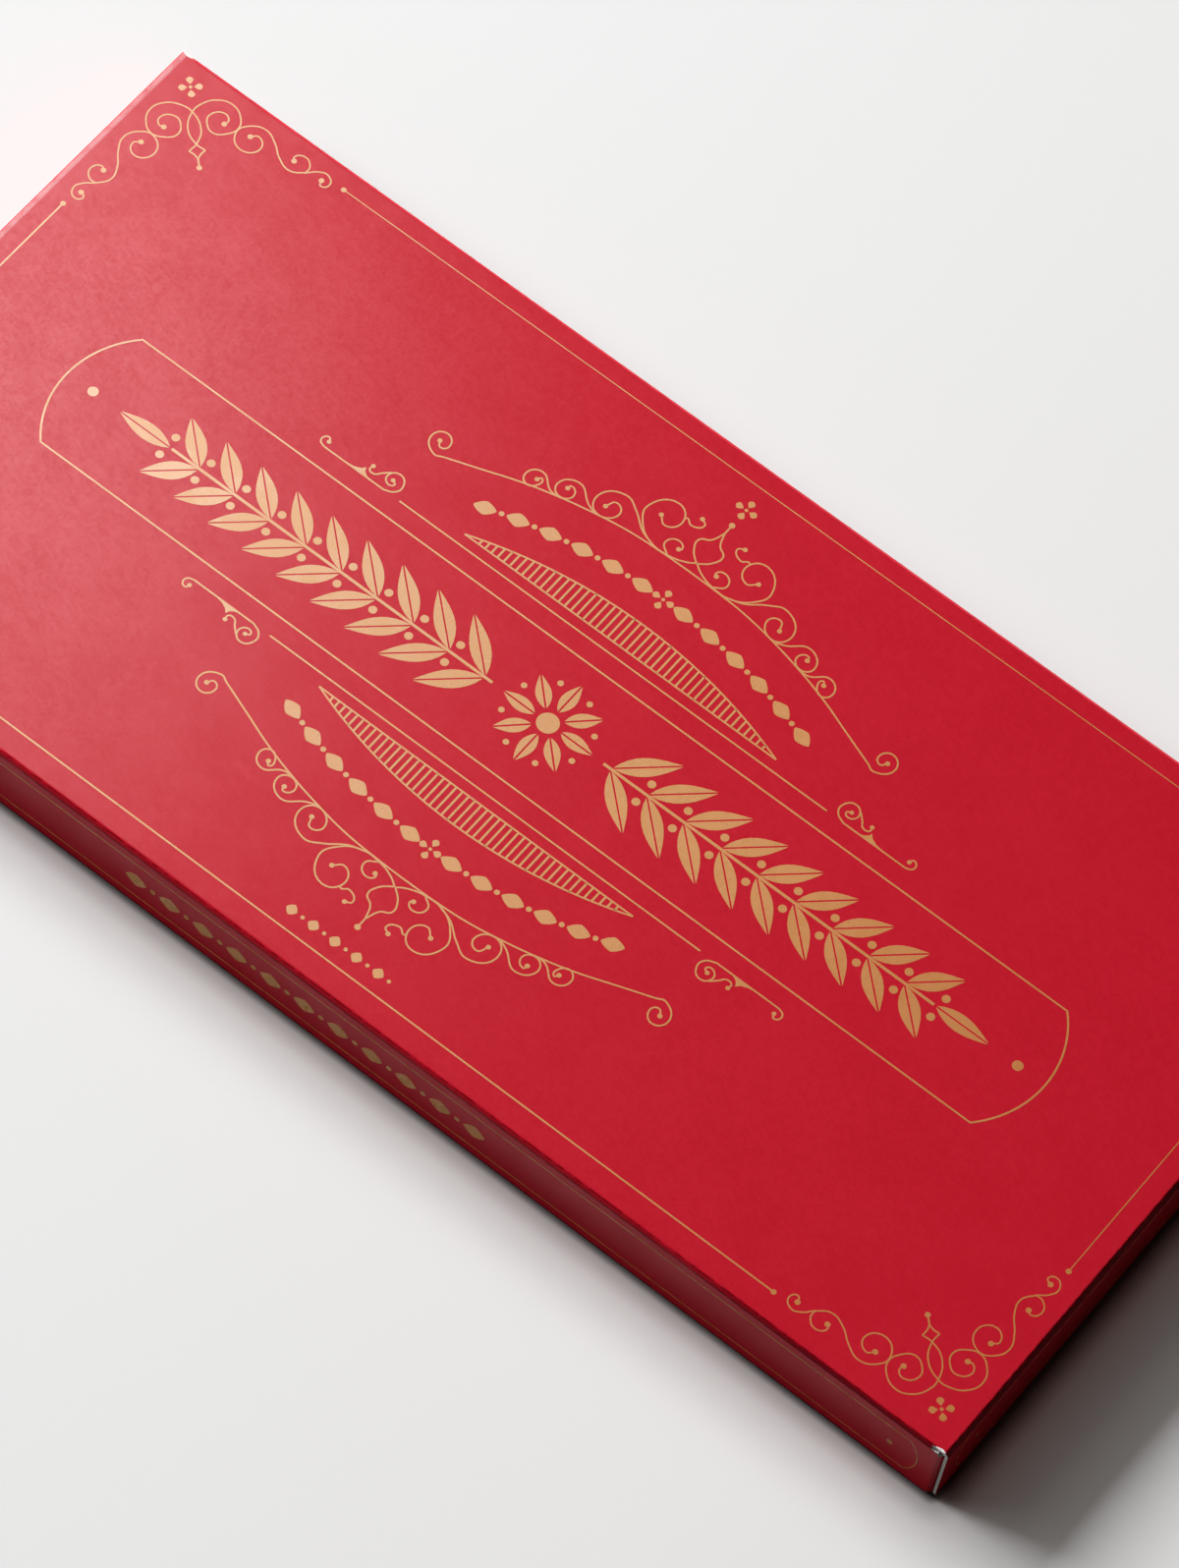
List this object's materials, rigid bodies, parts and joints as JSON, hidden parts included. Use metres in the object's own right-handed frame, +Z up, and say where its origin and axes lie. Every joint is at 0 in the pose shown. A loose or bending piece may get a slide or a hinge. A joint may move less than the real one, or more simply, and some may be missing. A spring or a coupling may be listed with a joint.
{
  "type": "chocolate box",
  "caption": "Shallow folding carton of red board with gold ornament, holding a foil-wrapped chocolate tablet; its end closures hinge up over inner and dust flaps.",
  "frame": {"origin": "centre of the underside of the closed box", "axes": "+X along the length, +Y to the back wall that carries the glued seam, +Z up through the printed top"},
  "size_m": [0.162, 0.0798, 0.01],
  "materials": {
    "printed_board": "satin red board with a fine paper texture and gold foil print, white inside and at cut edges",
    "glue": "translucent dried glue",
    "foil": "creased bright foil",
    "chocolate": "smooth milk chocolate, satin"
  },
  "bodies": {
    "carton": {"top_panel": "printed_board", "front_panel": "printed_board", "bottom_panel": "printed_board", "back_panel": "printed_board", "glue_flap": "printed_board", "seam_glue": "glue", "foil_wrap": "foil", "chocolate_tablet": "chocolate"},
    "right_closure": {"right_closure_panel": "printed_board"},
    "right_inner": {"right_inner_flap": "printed_board", "right_glue_spots": "glue"},
    "right_front_dust": {"right_front_dust_flap": "printed_board"},
    "right_back_dust": {"right_back_dust_flap": "printed_board"},
    "left_closure": {"left_closure_panel": "printed_board"},
    "left_inner": {"left_inner_flap": "printed_board", "left_glue_spots": "glue"},
    "left_front_dust": {"left_front_dust_flap": "printed_board"},
    "left_back_dust": {"left_back_dust_flap": "printed_board"}
  },
  "joints": [
    {"name": "right_closure_hinge", "type": "hinge", "parent": "carton", "child": "right_closure", "pos_m": [0.081, 0, 0.00945], "axis": [0, -1, 0], "range_deg": [0, 175]},
    {"name": "right_inner_flap_hinge", "type": "hinge", "parent": "carton", "child": "right_inner", "pos_m": [0.0805, 0, 0.00055], "axis": [0, 1, 0], "range_deg": [0, 87.5]},
    {"name": "right_front_dust_hinge", "type": "hinge", "parent": "carton", "child": "right_front_dust", "pos_m": [0.0805, -0.03935, 0.005], "axis": [0, 0, -1], "range_deg": [0, 87.5]},
    {"name": "right_back_dust_hinge", "type": "hinge", "parent": "carton", "child": "right_back_dust", "pos_m": [0.0805, 0.03935, 0.005], "axis": [0, 0, 1], "range_deg": [0, 87.5]},
    {"name": "left_closure_hinge", "type": "hinge", "parent": "carton", "child": "left_closure", "pos_m": [-0.081, 0, 0.00945], "axis": [0, 1, 0], "range_deg": [0, 175]},
    {"name": "left_inner_flap_hinge", "type": "hinge", "parent": "carton", "child": "left_inner", "pos_m": [-0.0805, 0, 0.00055], "axis": [0, -1, 0], "range_deg": [0, 87.5]},
    {"name": "left_front_dust_hinge", "type": "hinge", "parent": "carton", "child": "left_front_dust", "pos_m": [-0.0805, -0.03935, 0.005], "axis": [0, 0, 1], "range_deg": [0, 87.5]},
    {"name": "left_back_dust_hinge", "type": "hinge", "parent": "carton", "child": "left_back_dust", "pos_m": [-0.0805, 0.03935, 0.005], "axis": [0, 0, -1], "range_deg": [0, 87.5]}
  ],
  "couplings": [
    {"joint": "right_inner_flap_hinge", "follows": "right_closure_hinge", "ratio": 0.5},
    {"joint": "right_front_dust_hinge", "follows": "right_closure_hinge", "ratio": 0.5},
    {"joint": "right_back_dust_hinge", "follows": "right_closure_hinge", "ratio": 0.5},
    {"joint": "left_inner_flap_hinge", "follows": "left_closure_hinge", "ratio": 0.5},
    {"joint": "left_front_dust_hinge", "follows": "left_closure_hinge", "ratio": 0.5},
    {"joint": "left_back_dust_hinge", "follows": "left_closure_hinge", "ratio": 0.5}
  ]
}
